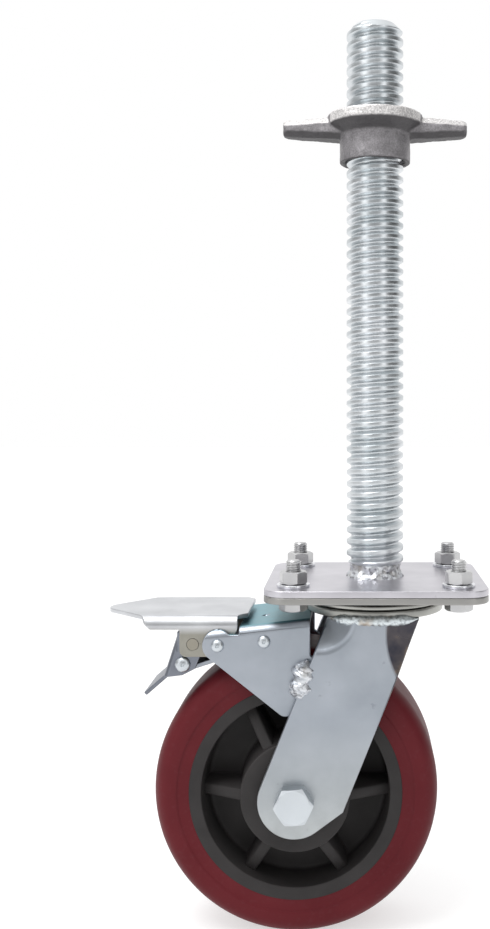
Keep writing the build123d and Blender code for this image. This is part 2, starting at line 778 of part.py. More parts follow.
leg_direction = (sin(radians(leg_lean)), cos(radians(leg_lean)))
bracket_corner = crossing(slope_touch, slope_run, bracket_heel, leg_direction)
ear_rise = bracket_step_top - pedal_pivot[1]
ear_top = (pedal_pivot[0] + sqrt(bracket_ear_radius**2 - ear_rise**2), bracket_step_top)
ear_side = on_circle(pedal_pivot, bracket_ear_radius, 170)
web_back_top = (bracket_web_back, bracket_web_back_top)
web_front_top = (bracket_web_front, bracket_web_front_top)
with BuildPart() as brake_bracket:
    with BuildSketch(side_plane.offset(bracket_outer)):
        with BuildLine():
            Polyline(
                ear_top,
                (bracket_web_back, bracket_step_top),
                web_back_top,
                web_front_top,
                (bracket_web_front, bracket_lap_top + bracket_lap),
                bracket_heel,
                bracket_corner,
                slope_touch,
            )
            ThreePointArc(slope_touch, ear_side, ear_top)
        make_face()
        fillet(corner_at(vertices(), bracket_corner), bracket_corner_radius)
    extrude(amount=-2 * bracket_outer)
    web_edges = brake_bracket.faces().sort_by(Axis.Z)[-1].edges()
    fillet(web_edges.filter_by(lambda e: abs(e.center().Y) > bracket_inner), bracket_bend)
    with BuildSketch(side_plane.offset(bracket_inner)):
        with BuildLine():
            drop = (bracket_web_front_top - bracket_web_back_top) / (bracket_web_front - bracket_web_back)
            under = bracket_thickness * sqrt(1 + drop**2)
            back_x = bracket_web_back - beyond
            front_x = bracket_web_front + beyond
            Polyline(
                (bracket_web_back, 0),
                (bracket_web_back, bracket_web_back_top - under),
                (front_x, bracket_web_front_top - under + drop * beyond),
                (front_x, -beyond),
                (back_x, -beyond),
                (back_x, 0),
                close=True,
            )
        make_face()
    extrude(amount=-2 * bracket_inner, mode=Mode.SUBTRACT)
    for pivot in (pedal_pivot, shoe_pivot):
        with BuildSketch(side_plane.offset(bracket_outer)):
            with Locations(pivot):
                Circle(rivet_diameter / 2)
        extrude(amount=-2 * bracket_outer, mode=Mode.SUBTRACT)
    dimple_top = bracket_web_back_top + (bracket_dimple[0] - bracket_web_back) * drop
    dimple_rise = (bracket_dimple_radius**2 - bracket_dimple_depth**2) / (2 * bracket_dimple_depth)
    with Locations((*bracket_dimple, dimple_top + dimple_rise)):
        Sphere(dimple_rise + bracket_dimple_depth, mode=Mode.SUBTRACT)
export_piece(brake_bracket.part, "brake_bracket")

# The rough beads between the bracket and the legs
bead_top = leg_edge_at(-leg_boss_radius, bracket_weld_top - bracket_weld_radius)
bead_bottom = leg_edge_at(-leg_boss_radius, bracket_weld_bottom + bracket_weld_radius)
with BuildPart() as near_bracket_weld:
    bead_length = hypot(bead_top[0] - bead_bottom[0], bead_top[1] - bead_bottom[1])
    bead_foot = (bead_bottom[0], -leg_middle, bead_bottom[1])
    with BuildSketch(Plane(origin=bead_foot, z_dir=(leg_direction[0], 0, leg_direction[1]))):
        Circle(bracket_weld_radius)
    extrude(amount=bead_length)
    for end in (bead_top, bead_bottom):
        with Locations((end[0], -leg_middle, end[1])):
            Sphere(bracket_weld_radius)
    with BuildSketch(side_plane):
        Rectangle(4 * beyond, 4 * beyond)
    extrude(amount=bracket_outer, mode=Mode.SUBTRACT)
    add(near_leg.part, mode=Mode.SUBTRACT)
with BuildPart() as bracket_welds:
    add(near_bracket_weld.part)
    mirror(about=Plane.XZ)
export_piece(bracket_welds.part, "bracket_welds")

# Rivets that the pedal and the shoe turn on
rivet_radius = rivet_diameter / 2
for name, pivot in (("pedal_rivet", pedal_pivot), ("shoe_rivet", shoe_pivot)):
    rivet = cross_rivet(pivot, rivet_radius, rivet_head_diameter / 2, rivet_head_height, bracket_outer)
    export_piece(rivet, name)

# Pedal: a folded channel with a tongue for the toe and two ears
fall_rate = pedal_tip_drop / (pedal_flat_back - pedal_tip)
shoulder_top = pedal_top - fall_rate * (pedal_flat_back - pedal_shoulder)
pedal_under = pedal_top - pedal_thickness
ear_foot = (pedal_pivot[0], pedal_ear_bottom)
ear_front = (pedal_pivot[0] + pedal_ear_radius, pedal_pivot[1])
with BuildPart() as brake_pedal:
    with BuildSketch(side_plane.offset(pedal_outer)):
        with BuildLine():
            Polyline(
                ear_front,
                (pedal_flange_front, pedal_flange_bottom),
                (pedal_flange_front, pedal_under),
                (pedal_front, pedal_under),
                (pedal_front, pedal_top),
                (pedal_flat_back, pedal_top),
                (pedal_tip, pedal_top - pedal_tip_drop),
                (pedal_tip, pedal_under - pedal_tip_drop),
                (pedal_shoulder, shoulder_top - pedal_thickness),
                (pedal_flange_back, pedal_flange_bottom),
                (pedal_ear_back, pedal_flange_bottom),
                (pedal_ear_back, pedal_ear_bottom),
                ear_foot,
            )
            ThreePointArc(ear_foot, on_circle(pedal_pivot, pedal_ear_radius, 315), ear_front)
        make_face()
        fillet(corner_at(vertices(), (pedal_ear_back, pedal_ear_bottom)), pedal_ear_radius / 2)
    extrude(amount=-2 * pedal_outer)
    side_edges = brake_pedal.edges().filter_by(lambda e: abs(abs(e.center().Y) - pedal_outer) < near)
    top_edges = side_edges.filter_by(lambda e: e.center().Z > pedal_top - pedal_tip_drop)
    fillet(top_edges.filter_by(lambda e: e.length > pedal_bend), pedal_bend)
    with BuildSketch(side_plane.offset(pedal_inner)):
        with BuildLine():
            Polyline(
                (pedal_front + pedal_thickness, pedal_under),
                (pedal_flat_back, pedal_under),
                (pedal_tip, pedal_under - pedal_tip_drop),
                (pedal_tip, -beyond),
                (pedal_front + pedal_thickness, -beyond),
                close=True,
            )
        make_face()
    extrude(amount=-2 * pedal_inner, mode=Mode.SUBTRACT)
    shoulder_half = pedal_shoulder_width / 2
    flange_back = pedal_shoulder + pedal_thickness
    with BuildSketch(Plane.XY):
        with BuildLine():
            Polyline(
                (pedal_tip, 0),
                (pedal_shoulder, shoulder_half),
                (flange_back, pedal_outer),
                (pedal_flange_front, pedal_outer),
                (pedal_flange_front, shoulder_half),
                (pedal_front, shoulder_half - (pedal_front - pedal_flange_front)),
                (pedal_front, 0),
                (pedal_tip, 0),
            )
        make_face()
        mirror(about=Plane.XZ)
        fillet([v for v in vertices() if v.X < pedal_tip + near], pedal_tip_radius)
    extrude(amount=-beyond, mode=Mode.INTERSECT)
    for pivot, radius in ((pedal_pivot, rivet_radius + running_fit), (lever_pivot, lever_pin_diameter / 2)):
        with BuildSketch(side_plane.offset(pedal_outer)):
            with Locations(pivot):
                Circle(radius)
        extrude(amount=-2 * pedal_outer, mode=Mode.SUBTRACT)
export_piece(brake_pedal.part, "brake_pedal")

# Release lever: a narrow channel that hangs in the pedal's ears, with a bent tail plate
eye_front = touch_point(lever_pivot, lever_eye_radius, lever_front, 1)
heel_length = hypot(lever_heel[0] - lever_top[0], lever_heel[1] - lever_top[1])
heel_run = ((lever_heel[0] - lever_top[0]) / heel_length, (lever_heel[1] - lever_top[1]) / heel_length)
web_step = (-heel_run[1] * lever_thickness, heel_run[0] * lever_thickness)  # through the web, to the front
tail_length = hypot(tail_end[0] - lever_heel[0], tail_end[1] - lever_heel[1])
tail_run = ((tail_end[0] - lever_heel[0]) / tail_length, (tail_end[1] - lever_heel[1]) / tail_length)
tail_step = (-tail_run[1] * lever_thickness, tail_run[0] * lever_thickness)
eye_top = on_circle(lever_pivot, lever_eye_radius, 90)
with BuildPart() as release_lever:
    with BuildSketch(side_plane.offset(lever_outer)):
        with BuildLine():
            back_corners = (lever_top[0], eye_top[1]), lever_top, lever_heel
            Polyline(eye_top, *back_corners, lever_sole, lever_toe, lever_front, eye_front)
            ThreePointArc(eye_front, on_circle(lever_pivot, lever_eye_radius, 45), eye_top)
        make_face()
    extrude(amount=-2 * lever_outer)
    back_middle = (lever_top[0] + lever_heel[0]) / 2
    back_edges = release_lever.edges().filter_by(lambda e: abs(e.center().X - back_middle) < near)
    fillet(back_edges.filter_by(lambda e: abs(abs(e.center().Y) - lever_outer) < near), lever_bend)
    web_start = (lever_top[0] + web_step[0], lever_top[1] + web_step[1])
    web_end = (lever_heel[0] + web_step[0], lever_heel[1] + web_step[1])
    with BuildSketch(side_plane.offset(lever_inner)):
        with BuildLine():
            Polyline(
                (web_start[0] - heel_run[0] * heel_length, web_start[1] - heel_run[1] * heel_length),
                (web_end[0] + heel_run[0] * heel_length, web_end[1] + heel_run[1] * heel_length),
                (0, web_end[1] + heel_run[1] * heel_length),
                (0, web_start[1] - heel_run[1] * heel_length),
                close=True,
            )
        make_face()
    extrude(amount=-2 * lever_inner, mode=Mode.SUBTRACT)
    with BuildSketch(side_plane.offset(tail_width / 2)):
        with BuildLine():
            Polyline(
                lever_heel,
                tail_end,
                (tail_end[0] + tail_step[0], tail_end[1] + tail_step[1]),
                (lever_heel[0] + tail_step[0], lever_heel[1] + tail_step[1]),
                web_end,
                (web_end[0] - heel_run[0] * lever_thickness, web_end[1] - heel_run[1] * lever_thickness),
                close=True,
            )
        make_face()
    extrude(amount=-tail_width)
    tail_edges = release_lever.faces().sort_by(Axis.X)[0].edges()
    fillet(tail_edges.filter_by(lambda e: e.length < lever_thickness + near), tail_corner)
    cross_radius = cross_pin_diameter / 2
    for pivot, radius in ((lever_pivot, lever_pin_diameter / 2 + running_fit), (cross_pin, cross_radius)):
        with BuildSketch(side_plane.offset(lever_outer)):
            with Locations(pivot):
                Circle(radius)
        extrude(amount=-2 * lever_outer, mode=Mode.SUBTRACT)
export_piece(release_lever.part, "release_lever")

cross_head_radius = cross_head_diameter / 2
cross_pin_rivet = cross_rivet(cross_pin, cross_radius, cross_head_radius, cross_head_height, lever_outer)
export_piece(cross_pin_rivet, "lever_cross_pin")

# The lever turns on a pin that is riveted flush in the pedal's ears
with BuildPart() as lever_pin:
    with BuildSketch(side_plane.offset(pedal_outer)):
        with Locations(lever_pivot):
            Circle(lever_pin_diameter / 2)
    extrude(amount=-2 * pedal_outer)
export_piece(lever_pin.part, "lever_pivot_pin")

# Brake shoe: a knuckle on its rivet, a plate that follows the tread, and a tip under the cross pin
shoe_inner = wheel_radius + shoe_gap
shoe_outer = shoe_inner + shoe_thickness
shoe_half = shoe_width / 2
plate_end_outer = on_circle(axle, shoe_outer, shoe_end)
plate_end_inner = on_circle(axle, shoe_inner, shoe_end)
pin_rest = touch_point(cross_pin, cross_radius + part_gap, plate_end_outer, -1)
tip_run_length = hypot(pin_rest[0] - plate_end_outer[0], pin_rest[1] - plate_end_outer[1])
tip_run = tuple((rest - end) / tip_run_length for rest, end in zip(pin_rest, plate_end_outer))
tip_reach = tip_run_length + shoe_tip_reach
tip_outer = (plate_end_outer[0] + tip_run[0] * tip_reach, plate_end_outer[1] + tip_run[1] * tip_reach)
tip_inner = (tip_outer[0] - tip_run[1] * shoe_thickness, tip_outer[1] + tip_run[0] * shoe_thickness)
with BuildPart() as brake_shoe:
    with BuildSketch(side_plane.offset(shoe_half)):
        with BuildLine():
            CenterArc(axle, shoe_inner, shoe_start, shoe_end - shoe_start)
            CenterArc(axle, shoe_outer, shoe_start, shoe_end - shoe_start)
            Line(on_circle(axle, shoe_inner, shoe_start), on_circle(axle, shoe_outer, shoe_start))
            Polyline(plate_end_outer, tip_outer, tip_inner, plate_end_inner)
        make_face()
        with Locations(shoe_pivot):
            Circle(shoe_knuckle_radius)
            Circle(rivet_radius + running_fit, mode=Mode.SUBTRACT)
    extrude(amount=-shoe_width)
export_piece(brake_shoe.part, "brake_shoe")
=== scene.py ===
"""Looks of the scaffold castor: finishes, true threads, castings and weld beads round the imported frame.

Lengths in this script are millimetres in the part's own frame, and become metres where a mesh is made.
"""

from contextlib import contextmanager
from math import ceil, cos, hypot, pi, radians, sin, tan

import bmesh
import bpy
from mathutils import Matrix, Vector, noise


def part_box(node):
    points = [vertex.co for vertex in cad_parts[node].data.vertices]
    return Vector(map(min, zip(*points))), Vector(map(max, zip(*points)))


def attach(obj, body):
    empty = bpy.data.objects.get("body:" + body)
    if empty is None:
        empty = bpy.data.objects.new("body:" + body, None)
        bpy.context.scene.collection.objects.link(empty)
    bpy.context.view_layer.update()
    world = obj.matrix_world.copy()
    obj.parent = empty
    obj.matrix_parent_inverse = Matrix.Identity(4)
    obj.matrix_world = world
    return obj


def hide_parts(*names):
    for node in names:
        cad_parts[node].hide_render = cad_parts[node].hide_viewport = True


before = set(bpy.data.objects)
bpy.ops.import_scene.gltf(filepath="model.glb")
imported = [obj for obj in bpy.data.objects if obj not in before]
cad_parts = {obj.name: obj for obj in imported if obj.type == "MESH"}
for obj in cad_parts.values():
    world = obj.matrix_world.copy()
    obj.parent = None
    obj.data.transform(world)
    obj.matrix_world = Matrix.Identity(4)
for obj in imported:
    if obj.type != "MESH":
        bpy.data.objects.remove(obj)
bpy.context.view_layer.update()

MM = 0.001

# Photograph: its size in pixels, and where lines that run straight away from its level camera meet
PHOTO_WIDTH = 490
PHOTO_HEIGHT = 929
VANISHING_X = 357
VANISHING_Y = 402
FOCAL_PIXELS = 1080
CAMERA_PLACE = (-9.8, -590.0, 94.8)
SENSOR = 36.0

# Widths of the rounded edges
PLATE_EDGE = 0.6
SHEET_EDGE = 0.55
LEG_EDGE = 0.9
SHARP_EDGE_ANGLE = 38
EDGE_SEGMENTS = 3

# Thread of the stem
STEM_PITCH = 6.25
STEM_DEPTH = 2.5
STEM_END_BEVEL = 1.8

# Bolts that join the plates, and their washers
BOLT_ACROSS = 13.0
BOLT_RADIUS = 4.0
BOLT_PITCH = 1.25
BOLT_THREAD_DEPTH = 0.55
WASHER_RADIUS = 8.5

# Axle: the middle of the wheel, and its bolt
AXLE = (-42.0, 0, -110.0)
AXLE_RADIUS = 6.0
AXLE_PITCH = 1.75
AXLE_THREAD_DEPTH = 0.7
AXLE_HEAD_TURN = 34

# Points that lie closer together than this are one point, and so are those that a thread's ends press flat
SAME_POINT = 0.002
PRESSED_POINT = 0.01

# Edges blunter than this many degrees are shaded smooth. Turned-off corners of 30 degrees stay sharp
SMOOTH_ANGLE = 35
TURNED_ANGLE = 25
ALL_SMOOTH = 180


def box_mm(node):
    """A node's lowest and highest corners, in millimetres."""
    low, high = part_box(node)
    return low / MM, high / MM


# Mesh tools


@contextmanager
def edited(piece):
    """A piece's mesh, open for editing, and written back when that is done."""
    work = bmesh.new()
    work.from_mesh(piece.data)
    yield work
    work.to_mesh(piece.data)
    work.free()


def mesh_object(name, points, faces, smooth_angle=SMOOTH_ANGLE):
    """A new mesh object from points in millimetres."""
    mesh = bpy.data.meshes.new(name)
    mesh.from_pydata([Vector(p) * MM for p in points], [], faces)
    return finished(bpy.data.objects.new(name, mesh), smooth_angle)


def finished(piece, smooth_angle=SMOOTH_ANGLE):
    """Links a new piece, turns its faces outwards and shades it smooth up to an angle."""
    if piece.name not in bpy.context.scene.collection.objects:
        bpy.context.scene.collection.objects.link(piece)
    with edited(piece) as work:
        bmesh.ops.recalc_face_normals(work, faces=work.faces)
    piece.data.shade_smooth()
    piece.data.set_sharp_from_angle(angle=radians(smooth_angle))
    return piece


def rounded(points, radius, steps=4):
    """A closed outline with its corners rounded, except those whose third value is 0."""
    result = []
    count = len(points)
    for i, point in enumerate(points):
        size = point[2] if len(point) > 2 else radius
        here = Vector(point[:2])
        if size == 0:
            result.append(tuple(here))
            continue
        before = Vector(points[i - 1][:2]) - here
        after = Vector(points[(i + 1) % count][:2]) - here
        angle = before.angle(after)
        cut = min(size / tan(angle / 2), 0.49 * before.length, 0.49 * after.length)
        start = here + before.normalized() * cut
        end = here + after.normalized() * cut
        for step in range(steps + 1):
            t = step / steps
            result.append(tuple(start * (1 - t) ** 2 + here * 2 * t * (1 - t) + end * t**2))
    return result


def turned_faces(steps, rows):
    """Faces of a closed outline of so many points that is turned all the way round in steps."""
    faces = []
    for step in range(steps):
        ahead = (step + 1) % steps
        for row in range(rows):
            up = (row + 1) % rows
            faces.append((step * rows + row, ahead * rows + row, ahead * rows + up, step * rows + up))
    return faces


def tube(rings):
    """Points and faces of a tube through rings of equally many points, closed at both ends."""
    count = len(rings[0])
    faces = []
    for first in range(0, (len(rings) - 1) * count, count):
        for i in range(count):
            following = (i + 1) % count
            faces.append((first + i, first + following, first + count + following, first + count + i))
    faces.append(tuple(range(count)))
    faces.append(tuple(range((len(rings) - 1) * count, len(rings) * count)))
    return [point for ring in rings for point in ring], faces


def lathe(profile, steps=144, across=False, centre=(0, 0, 0)):
    """Points and faces of a closed (radius, height) outline turned about Z, or about Y if across."""
    points = []
    for step in range(steps):
        angle = 2 * pi * step / steps
        for radius, height in profile:
            if across:
                place = (radius * cos(angle), height, radius * sin(angle))
            else:
                place = (radius * cos(angle), radius * sin(angle), height)
            points.append([p + c for p, c in zip(place, centre)])
    return points, turned_faces(steps, len(profile))


def lathe_piece(name, profile, **place):
    """A lathe as an object, with the faces that shrink to the axis closed up."""
    piece = mesh_object(name, *lathe(profile, **place))
    with edited(piece) as work:
        bmesh.ops.remove_doubles(work, verts=work.verts, dist=SAME_POINT * MM)
    return finished(piece)


def joined(name, parts):
    """Several (points, faces) as one object."""
    points, faces = [], []
    for more_points, more_faces in parts:
        start = len(points)
        points += more_points
        faces += [tuple(start + i for i in face) for face in more_faces]
    return mesh_object(name, points, faces)


def moved(part, offset):
    """A (points, faces) pair shifted by an offset."""
    points, faces = part
    return [[p + o for p, o in zip(point, offset)] for point in points], faces


def thread(bottom, top, root, crest, pitch, crest_share, root_share, bevel, columns, per_turn, foot=0):
    """A true right-hand thread about Z as points and faces, closed at both ends.

    Its crest and its root are so large a share of the pitch. Its top is bevelled,
    and over the height of the foot it is turned down to its root.
    It starts a turn too low and ends a turn too high, and what is beyond its ends is pressed flat.
    """
    turns = ceil((top - bottom) / pitch) + 2
    rows = turns * per_turn + 1
    flank = (1 - crest_share - root_share) / 2

    def lift(share):
        """How far up the flank a point stands, from 0 at the root to 1 on the crest."""
        share = share % 1
        if share < root_share:
            return 0
        if share < root_share + flank:
            t = (share - root_share) / flank
        elif share < root_share + flank + crest_share:
            t = 1
        else:
            t = (1 - share) / flank
        return t * t * (3 - 2 * t)

    points, faces = [], []
    for column in range(columns):
        angle = 2 * pi * column / columns
        for row in range(rows):
            z = bottom - pitch + pitch * (row / per_turn + column / columns)
            radius = root + (crest - root) * lift(row / per_turn)
            radius = min(radius, root - bevel + max(0, top - z), root + max(0, z - bottom - foot))
            points.append((radius * cos(angle), radius * sin(angle), min(max(z, bottom), top)))
    for column in range(columns):
        ahead = (column + 1) % columns
        skip = per_turn if ahead == 0 else 0
        for row in range(rows - 1):
            if row + 1 + skip < rows:
                near, far = column * rows + row, ahead * rows + row + skip
                faces.append((near, far, far + 1, near + 1))
    for z, last in ((bottom, 0), (top, rows - 1)):
        centre = len(points)
        points.append((0, 0, z))
        for column in range(columns):
            ahead = (column + 1) % columns
            faces.append((column * rows + last, ahead * rows + last, centre))
    return points, faces


def closed_rod(name, parts):
    """Threads, nuts and heads as one object, without the faces of no width that pressing flat leaves."""
    piece = joined(name, parts)
    with edited(piece) as work:
        bmesh.ops.remove_doubles(work, verts=work.verts, dist=PRESSED_POINT * MM)
        bmesh.ops.dissolve_degenerate(work, edges=work.edges, dist=PRESSED_POINT / 2 * MM)
    return finished(piece, TURNED_ANGLE)


def laid(part, side):
    """A (points, faces) pair laid down, its top to the near side (-1) or to the far side (1)."""
    points, faces = part
    return [(x, side * z, -side * y) for x, y, z in points], faces


def hexagon(across, bottom, top, bore=0, bevel_top=True, bevel_bottom=False, turn=0):
    """A hexagon nut or bolt head about Z, its corners turned off at 30 degrees."""
    flat = across / 2
    face_radius = 0.94 * flat
    steps = 72

    def ring(angle, share):
        """Radius and fall of the turned-off face, at a share of its way out to the hexagon."""
        corner = flat / cos((angle - turn + pi / 6) % (pi / 3) - pi / 6)
        reach = (corner - face_radius) * share
        return face_radius + reach, reach * tan(pi / 6)

    points = []
    shares = (0, 0.5, 1)
    for step in range(steps):
        angle = 2 * pi * step / steps
        section = [(bore, bottom)]
        for share in shares:
            radius, fall = ring(angle, share)
            section.append((radius, bottom + (fall if bevel_bottom else 0)))
        for share in reversed(shares):
            radius, fall = ring(angle, share)
            section.append((radius, top - (fall if bevel_top else 0)))
        section.append((bore, top))
        points += [(r * cos(angle), r * sin(angle), z) for r, z in section]
    return points, turned_faces(steps, 2 * len(shares) + 2)


def apply_modifiers(piece):
    """Gives a piece the mesh that its modifiers make of it."""
    bpy.context.view_layer.update()
    evaluated = piece.evaluated_get(bpy.context.evaluated_depsgraph_get())
    mesh = bpy.data.meshes.new_from_object(evaluated)
    piece.modifiers.clear()
    piece.data = mesh


def bevelled_copy(node_name, name, width):
    """A copy of a CAD node's mesh with its sharp edges rounded, standing for the node."""
    piece = bpy.data.objects.new(name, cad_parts[node_name].data.copy())
    piece.data.materials.clear()
    bpy.context.scene.collection.objects.link(piece)
    with edited(piece) as work:
        bmesh.ops.remove_doubles(work, verts=work.verts, dist=SAME_POINT * MM)
        bmesh.ops.dissolve_limit(work, angle_limit=radians(0.5), verts=work.verts, edges=work.edges)
    bevel = piece.modifiers.new("edges", "BEVEL")
    bevel.width = width * MM
    bevel.segments = EDGE_SEGMENTS
    bevel.limit_method = "ANGLE"
    bevel.angle_limit = radians(SHARP_EDGE_ANGLE)
    bevel.use_clamp_overlap = False
    bevel.miter_outer = "MITER_ARC"
    apply_modifiers(piece)
    finished(piece, ALL_SMOOTH)
    flat_normals(piece)
    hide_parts(node_name)
    return piece


def flat_normals(piece):
    """Point normals weighed by the faces' areas: flat faces stay flat beside their rounded edges."""
    mesh = piece.data
    sums = [Vector() for _ in mesh.vertices]
    for face in mesh.polygons:
        for index in face.vertices:
            sums[index] += face.normal * face.area
    mesh.normals_split_custom_set_from_vertices([total.normalized() for total in sums])


def bead(name, paths, radius, ripple, lumps, seed, around=14):
    """Weld beads along paths of points: lumpy round ridges with closed ends."""
    parts = []
    for path in paths:
        path = [Vector(p) for p in path]
        rings = []
        last = len(path) - 1
        travelled = 0
        for i, place in enumerate(path):
            along = (path[min(i + 1, last)] - path[max(i - 1, 0)]).normalized()
            side = along.cross(Vector((0, 0, 1)))
            side = side.normalized() if side.length > 0.1 else Vector((0, 1, 0))
            up = side.cross(along)
            travelled += (place - path[i - 1]).length if i else 0
            share = i / last
            taper = min(1, hypot(0.12, 6 * min(share, 1 - share)))
            wave = 1 + ripple * sin(travelled * 2 * pi / (1.1 * radius))
            ring = []
            for step in range(around):
                angle = 2 * pi * step / around
                out = side * cos(angle) + up * sin(angle)
                surface = place + out * radius
                coarse = noise.noise((surface + Vector((seed, 0, 0))) / (0.9 * radius))
                fine = noise.noise((surface + Vector((0, seed, 0))) / (0.3 * radius))
                ring.append(place + out * radius * taper * (wave + lumps * (coarse + 0.5 * fine)))
            rings.append(ring)
        parts.append(tube(rings))
    return joined(name, parts)


# Materials


def material(name, colour, metallic, roughness, **sockets):
    """A new material and its shader, with the values that are the same all over set on the shader."""
    made = bpy.data.materials.new(name)
    made.use_nodes = True
    shader = made.node_tree.nodes["Principled BSDF"]
    shader.inputs["Base Color"].default_value = (*colour, 1)
    shader.inputs["Metallic"].default_value = metallic
    shader.inputs["Roughness"].default_value = roughness
    for socket, value in sockets.items():
        shader.inputs[socket.replace("_", " ")].default_value = value
    return made


def node(tree, kind, links=None, **values):
    """A new shader node, with its inputs linked or set by name or number."""
    made = tree.nodes.new("ShaderNode" + kind)
    for key, value in values.items():
        setattr(made, key, value)
    for key, value in (links or {}).items():
        if isinstance(value, bpy.types.NodeSocket):
            tree.links.new(value, made.inputs[key])
        else:
            made.inputs[key].default_value = value
    return made


def place_in(tree, stretch=(1, 1, 1)):
    """The place on the object in metres, stretched along its axes."""
    where = node(tree, "TexCoord").outputs["Object"]
    return node(tree, "Mapping", {"Vector": where, "Scale": stretch}).outputs["Vector"]


def coordinate(tree, kind, axis):
    """One coordinate of a point's place ("Object", in metres) or of its normal ("Normal")."""
    parts = node(tree, "SeparateXYZ", {"Vector": node(tree, "TexCoord").outputs[kind]})
    return parts.outputs[axis]


def speckle(tree, size, detail=3, stretch=(1, 1, 1), roughness=0.5):
    """Noise with features of about this many millimetres."""
    links = {
        "Vector": place_in(tree, stretch),
        "Scale": 1 / (size * MM),
        "Detail": detail,
        "Roughness": roughness,
    }
    return node(tree, "TexNoise", links).outputs["Fac"]


def ramp(tree, factor, *stops):
    """Colours along a factor, from stops of a place and a colour or a grey."""
    made = node(tree, "ValToRGB", {"Fac": factor})
    points = made.color_ramp.elements
    while len(points) < len(stops):
        points.new(0.5)
    for point, (at, colour) in zip(points, stops):
        point.position = at
        point.color = (*colour, 1) if hasattr(colour, "__len__") else (colour, colour, colour, 1)
    return made.outputs["Color"]


def mixed(tree, factor, first, second, blend="MIX"):
    """Two colours mixed by a factor. Sockets 6 and 7 take the colours, and output 2 gives theirs."""
    links = {"Factor": factor, 6: first, 7: second}
    return node(tree, "Mix", links, data_type="RGBA", blend_type=blend).outputs[2]


def spread(tree, value, low, high, start=0.0, end=1.0):
    """A value between start and end mapped onto a range."""
    links = {"Value": value, "From Min": start, "From Max": end, "To Min": low, "To Max": high}
    return node(tree, "MapRange", links).outputs["Result"]


def computed(tree, operation, first, second=0.0):
    """Two values put together by a Math node, or one value changed by it."""
    return node(tree, "Math", {0: first, 1: second}, operation=operation).outputs["Value"]


def relief(made, *layers):
    """Bump from several (height, strength, depth in millimetres) layers."""
    tree = made.node_tree
    normal = None
    for height, strength, depth in layers:
        links = {"Height": height, "Strength": strength, "Distance": depth * MM}
        if normal is not None:
            links["Normal"] = normal
        normal = node(tree, "Bump", links).outputs["Normal"]
    tree.links.new(normal, tree.nodes["Principled BSDF"].inputs["Normal"])


def paint(made, colour, roughness=None):
    """Links a colour, and a roughness if there is one, into a material's shader."""
    shader = made.node_tree.nodes["Principled BSDF"]
    made.node_tree.links.new(colour, shader.inputs["Base Color"])
    if roughness is not None:
        made.node_tree.links.new(roughness, shader.inputs["Roughness"])


def zinc(name, light, dark, rough_low, rough_high, grain=0.35, tint=None, tint_and_painted_light_mask=None, paint_shade=None):
    """Zinc plated steel: clouded and finely grained, with a few dull spots.

    A second colour, tint, lies where the mask, a function of the node tree, gives 1: painted light on the
    leg, and a teal sheen painted as a reflection on the bracket. A last function, if given, paints shade
    into the colour.
    """
    made = material(name, light, 1.0, rough_low)
    tree = made.node_tree
    colour = ramp(tree, speckle(tree, 26, 4), (0.3, dark), (0.7, light))
    if tint:
        darker = tuple(0.84 * c for c in tint)
        shade = ramp(tree, speckle(tree, 9, 3), (0.3, darker), (0.7, tint))
        colour = mixed(tree, tint_and_painted_light_mask(tree), colour, shade)
    # Painted shade, where a function for it is given
    if paint_shade:
        colour = paint_shade(tree, colour)
    spots = ramp(tree, speckle(tree, 4.5, 3), (0.2, 0.8), (0.3, 1.0))
    worn = mixed(tree, 1.0, colour, spots, "MULTIPLY")
    paint(made, worn, spread(tree, speckle(tree, 9, 5), rough_low, rough_high))
    relief(made, (speckle(tree, grain, 3), 0.16, 0.03), (speckle(tree, 8, 2), 0.1, 0.12))
    return made


# Mask of the painted reflection on the bracket's upward faces
def facing_up(tree):
    """1 on faces that look up, 0 on the others."""
    return spread(tree, coordinate(tree, "Normal", "Z"), 0.0, 1.0, 0.82, 0.97)


def on_the_ears(tree):
    """1 low down on the pedal, where its ears are."""
    return spread(tree, coordinate(tree, "Object", "Z"), 1.0, 0.0, -26 * MM, -22 * MM)


# Mask of the painted light that makes the leg lighter towards the axle
def down_the_leg(tree):
    """1 near the axle, falling to 0 further up the leg."""
    return spread(tree, coordinate(tree, "Object", "Z"), 1.0, 0.0, -122 * MM, -68 * MM)


def painted_facet_shade(tree, colour):
    """A leg's colour with painted shade, in dark patches tinged brown like heat tint, on faces turned to
    +X high up the leg, where its front corner is pressed in.
    """
    turned = spread(tree, coordinate(tree, "Normal", "X"), 0.0, 1.0, 0.1, 0.34)
    near = spread(tree, coordinate(tree, "Object", "Z"), 0.0, 1.0, -74 * MM, -50 * MM)
    shade_stops = (0.35, (0.05, 0.05, 0.065)), (0.58, (0.1, 0.09, 0.095)), (0.75, (0.24, 0.18, 0.13))
    shade_colour = ramp(tree, speckle(tree, 11, 3), *shade_stops)
    return mixed(tree, computed(tree, "MULTIPLY", turned, near), colour, shade_colour)


def weld_finish(name, light, dark, tint):
    """Weld metal: rough, crusted, pale with darker hollows and a heat tint."""
    made = material(name, light, 0.9, 0.4)
    tree = made.node_tree
    crust = ramp(tree, speckle(tree, 2, 5), (0.33, dark), (0.5, light))
    heat = ramp(tree, speckle(tree, 7, 2), (0.52, 0.0), (0.72, 0.7))
    paint(made, mixed(tree, heat, crust, (*tint, 1)), spread(tree, speckle(tree, 1.2, 3), 0.2, 0.55))
    relief(made, (speckle(tree, 0.8, 4), 0.4, 0.14), (speckle(tree, 2.6, 3), 0.4, 0.4))
    return made


# Wing nut: its flange, and half the width of a wing where it leaves the collar
FLANGE_RADIUS = 26.0
FLANGE_THICKNESS = 6.0
WING_HALF = 8.5


